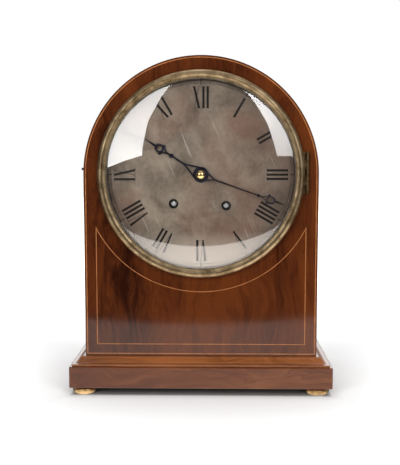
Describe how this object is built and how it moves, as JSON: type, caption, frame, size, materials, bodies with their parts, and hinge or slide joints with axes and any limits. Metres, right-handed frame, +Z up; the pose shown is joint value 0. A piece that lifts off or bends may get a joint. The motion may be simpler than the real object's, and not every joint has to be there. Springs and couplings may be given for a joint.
{
  "type": "bracket clock",
  "caption": "Arched wooden bracket clock on brass feet, with a round dial under domed glass, an eight-day movement, a pendulum and a bell.",
  "frame": {"origin": "middle of the footprint, on the surface that the clock stands on", "axes": "+Z up, the dial faces -Y, +X to the right as the dial is read"},
  "size_m": [0.2816, 0.172, 0.3607],
  "materials": {
    "case_wood": "french polished",
    "line_wood": "french polished",
    "seat_wood": "matt",
    "case_brass": "aged, polished",
    "glass": "polished",
    "glass_keeper": "dull",
    "dial": "silvered, worn",
    "hands": "blued",
    "movement_brass": "satin",
    "steel": "satin",
    "bell_metal": "turned"
  },
  "bodies": {
    "case": {"plinth": "case_wood", "foot_front_left": "case_brass", "foot_front_right": "case_brass", "foot_back_left": "case_brass", "foot_back_right": "case_brass", "base_moulding": "case_wood", "front_board": "case_wood", "edge_stringing": "line_wood", "panel_stringing": "line_wood", "case_shell": "case_wood", "back_board": "case_wood", "dial_plate": "dial", "dial_feet": "movement_brass", "seat_board": "seat_wood", "seat_screws": "steel", "front_plate": "movement_brass", "back_plate": "movement_brass", "plate_pillars": "movement_brass", "pillar_nuts": "movement_brass", "back_cock": "movement_brass", "bell_bridge": "movement_brass", "bell": "bell_metal", "bezel_hinge_plate": "case_brass", "bezel_hinge_pin": "case_brass", "door_hinge_plates": "case_brass", "front_studs": "steel", "lever_bracket": "steel"},
    "bezel": {"bezel_ring": "case_brass", "bezel_glass": "glass", "glass_ring": "glass_keeper", "bezel_hinge_leaf": "case_brass"},
    "back_door": {"door_frame": "case_wood", "door_glass": "glass", "door_hinge_flaps": "case_brass"},
    "catch": {"door_catch": "case_brass"},
    "minute_group": {"cannon_pinion": "movement_brass", "minute_hand": "hands", "hand_nut": "movement_brass"},
    "minute_wheel": {"minute_wheel": "movement_brass"},
    "hour_group": {"hour_wheel": "movement_brass", "hour_hand": "hands"},
    "third_wheel": {"third_wheel": "movement_brass"},
    "escape_wheel": {"escape_wheel": "movement_brass"},
    "centre_wheel": {"centre_wheel": "movement_brass"},
    "intermediate_wheel": {"intermediate_wheel": "movement_brass"},
    "time_barrel": {"time_barrel": "movement_brass"},
    "gather_wheel": {"gather_wheel": "movement_brass"},
    "pin_wheel": {"pin_wheel": "movement_brass"},
    "strike_barrel": {"strike_barrel": "movement_brass"},
    "strike_fly": {"strike_fly": "movement_brass"},
    "pendulum": {"pendulum_rod": "steel"},
    "bob": {"pendulum_bob": "movement_brass"},
    "rating_nut": {"rating_nut": "movement_brass"},
    "anchor": {"pallets": "steel"},
    "time_winder": {"time_winding_arbor": "steel"},
    "strike_winder": {"strike_winding_arbor": "steel"},
    "time_click": {"time_click": "steel"},
    "strike_click": {"strike_click": "steel"},
    "hammer": {"hammer": "steel"},
    "silent_lever": {"strike_silent_lever": "steel"}
  },
  "joints": [
    {"name": "bezel_hinge", "type": "hinge", "parent": "case", "child": "bezel", "pos_m": [0.1128, -0.0722, 0.2379], "axis": [0, 0, 1], "range_deg": [0, 110]},
    {"name": "back_door_hinge", "type": "hinge", "parent": "case", "child": "back_door", "pos_m": [0.0916, 0.08, 0.16], "axis": [0, 0, -1], "range_deg": [0, 110]},
    {"name": "door_catch_turn", "type": "hinge", "parent": "back_door", "child": "catch", "pos_m": [-0.0812, 0.073, 0.1957], "axis": [0, -1, 0], "range_deg": [0, 90]},
    {"name": "hands_turn", "type": "hinge", "parent": "case", "child": "minute_group", "pos_m": [0, -0.06, 0.2357], "axis": [0, 1, 0], "continuous": true},
    {"name": "minute_wheel_turn", "type": "hinge", "parent": "case", "child": "minute_wheel", "pos_m": [0, -0.052, 0.2197], "axis": [0, 1, 0], "continuous": true},
    {"name": "hour_turn", "type": "hinge", "parent": "case", "child": "hour_group", "pos_m": [0, -0.06, 0.2357], "axis": [0, 1, 0], "continuous": true},
    {"name": "third_wheel_turn", "type": "hinge", "parent": "case", "child": "third_wheel", "pos_m": [0.01051, -0.02, 0.2566], "axis": [0, 1, 0], "continuous": true},
    {"name": "escape_wheel_turn", "type": "hinge", "parent": "case", "child": "escape_wheel", "pos_m": [0, -0.02, 0.27267], "axis": [0, 1, 0], "continuous": true},
    {"name": "centre_wheel_turn", "type": "hinge", "parent": "case", "child": "centre_wheel", "pos_m": [0, -0.02, 0.2357], "axis": [0, 1, 0], "continuous": true},
    {"name": "intermediate_wheel_turn", "type": "hinge", "parent": "case", "child": "intermediate_wheel", "pos_m": [0.0229, -0.02, 0.23088], "axis": [0, 1, 0], "continuous": true},
    {"name": "time_barrel_turn", "type": "hinge", "parent": "case", "child": "time_barrel", "pos_m": [0.027, -0.02, 0.2027], "axis": [0, 1, 0], "continuous": true},
    {"name": "gather_wheel_turn", "type": "hinge", "parent": "case", "child": "gather_wheel", "pos_m": [-0.03102, -0.02, 0.25047], "axis": [0, 1, 0], "continuous": true},
    {"name": "pin_wheel_turn", "type": "hinge", "parent": "case", "child": "pin_wheel", "pos_m": [-0.03414, -0.02, 0.23274], "axis": [0, 1, 0], "continuous": true},
    {"name": "strike_barrel_turn", "type": "hinge", "parent": "case", "child": "strike_barrel", "pos_m": [-0.0292, -0.02, 0.2047], "axis": [0, 1, 0], "continuous": true},
    {"name": "strike_fly_turn", "type": "hinge", "parent": "case", "child": "strike_fly", "pos_m": [-0.02683, -0.02, 0.26612], "axis": [0, 1, 0], "continuous": true},
    {"name": "pendulum_swing", "type": "hinge", "parent": "case", "child": "pendulum", "pos_m": [0, 0.033, 0.2925], "axis": [0, 1, 0], "range_deg": [-2.5, 2.5]},
    {"name": "pallets_rock", "type": "hinge", "parent": "case", "child": "anchor", "pos_m": [0, 0, 0.2925], "axis": [0, 1, 0], "range_deg": [-2.5, 2.5]},
    {"name": "bob_slide", "type": "slide", "parent": "pendulum", "child": "bob", "axis": [0, 0, 1], "range_m": [-0.001, 0.001]},
    {"name": "rating_nut_turn", "type": "hinge", "parent": "bob", "child": "rating_nut", "pos_m": [0, 0.033, 0.0635], "axis": [0, 0, 1], "range_deg": [-720, 720]},
    {"name": "time_winding", "type": "hinge", "parent": "case", "child": "time_winder", "pos_m": [0.027, -0.055, 0.2027], "axis": [0, 1, 0], "continuous": true},
    {"name": "strike_winding", "type": "hinge", "parent": "case", "child": "strike_winder", "pos_m": [-0.0292, -0.055, 0.2047], "axis": [0, 1, 0], "continuous": true},
    {"name": "time_click_lift", "type": "hinge", "parent": "case", "child": "time_click", "pos_m": [0.043, -0.05, 0.2137], "axis": [0, 1, 0], "range_deg": [0, 12]},
    {"name": "strike_click_lift", "type": "hinge", "parent": "case", "child": "strike_click", "pos_m": [-0.0452, -0.05, 0.2157], "axis": [0, -1, 0], "range_deg": [0, 12]},
    {"name": "hammer_swing", "type": "hinge", "parent": "case", "child": "hammer", "pos_m": [-0.06, -0.02, 0.2457], "axis": [0, -1, 0], "range_deg": [0, 9]},
    {"name": "silent_lever_tilt", "type": "hinge", "parent": "case", "child": "silent_lever", "pos_m": [-0.108, -0.01, 0.2407], "axis": [0, 1, 0], "range_deg": [-8, 8]}
  ],
  "couplings": [
    {"joint": "minute_wheel_turn", "follows": "hands_turn", "ratio": -0.33333},
    {"joint": "hour_turn", "follows": "hands_turn", "ratio": 0.083333},
    {"joint": "escape_wheel_turn", "follows": "third_wheel_turn", "ratio": -11},
    {"joint": "centre_wheel_turn", "follows": "third_wheel_turn", "ratio": -0.083333},
    {"joint": "intermediate_wheel_turn", "follows": "third_wheel_turn", "ratio": 0.010417},
    {"joint": "time_barrel_turn", "follows": "third_wheel_turn", "ratio": -0.00099206},
    {"joint": "pin_wheel_turn", "follows": "gather_wheel_turn", "ratio": -0.11111},
    {"joint": "strike_barrel_turn", "follows": "gather_wheel_turn", "ratio": 0.010582},
    {"joint": "strike_fly_turn", "follows": "gather_wheel_turn", "ratio": -8},
    {"joint": "pallets_rock", "follows": "pendulum_swing", "ratio": 1},
    {"joint": "rating_nut_turn", "follows": "bob_slide", "rad_per_m": 12566}
  ]
}
